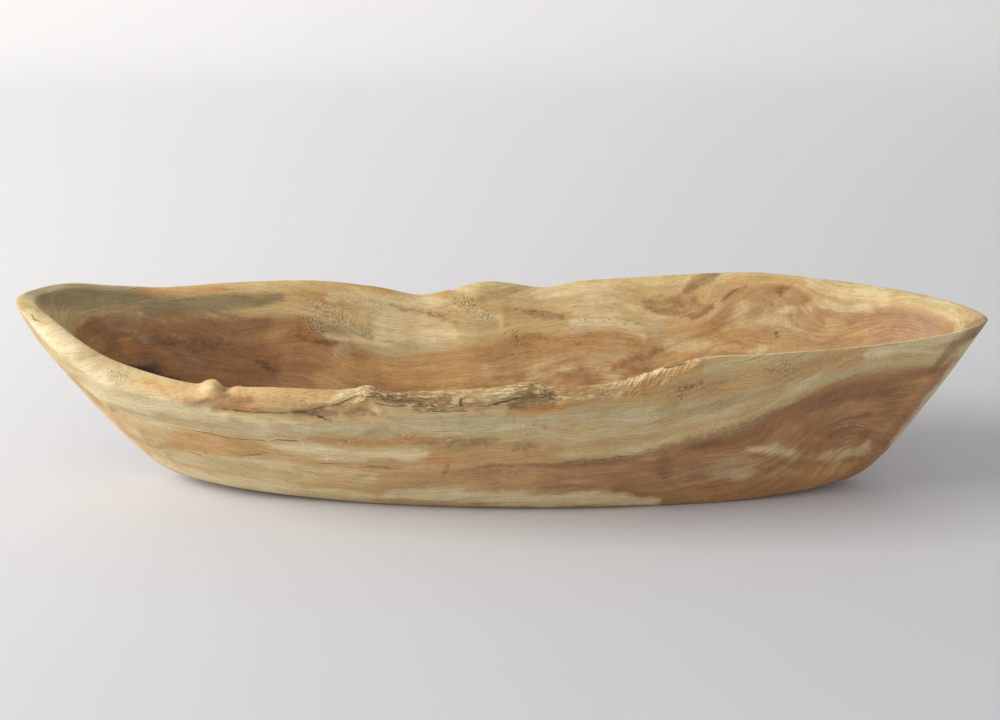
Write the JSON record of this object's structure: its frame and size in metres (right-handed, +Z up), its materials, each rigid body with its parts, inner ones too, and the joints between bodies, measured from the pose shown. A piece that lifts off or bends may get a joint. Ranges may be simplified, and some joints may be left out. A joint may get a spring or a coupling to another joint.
{
  "type": "carved wooden fruit bowl",
  "caption": "Long canoe-shaped fruit bowl dug out of a log, with a live-edge rim, pointed ends, sloping walls and a flat base to stand on",
  "frame": {"origin": "on the surface the bowl stands on, under the middle of its outer box", "axes": "+Z up, +X along the bowl towards its sharper end, -Y towards the lower wall that faces the camera in the picture"},
  "size_m": [0.8, 0.233, 0.1612],
  "materials": {
    "carved_wood": "sanded and waxed, satin"
  },
  "bodies": {
    "root": {"bowl": "carved_wood"}
  },
  "joints": []
}
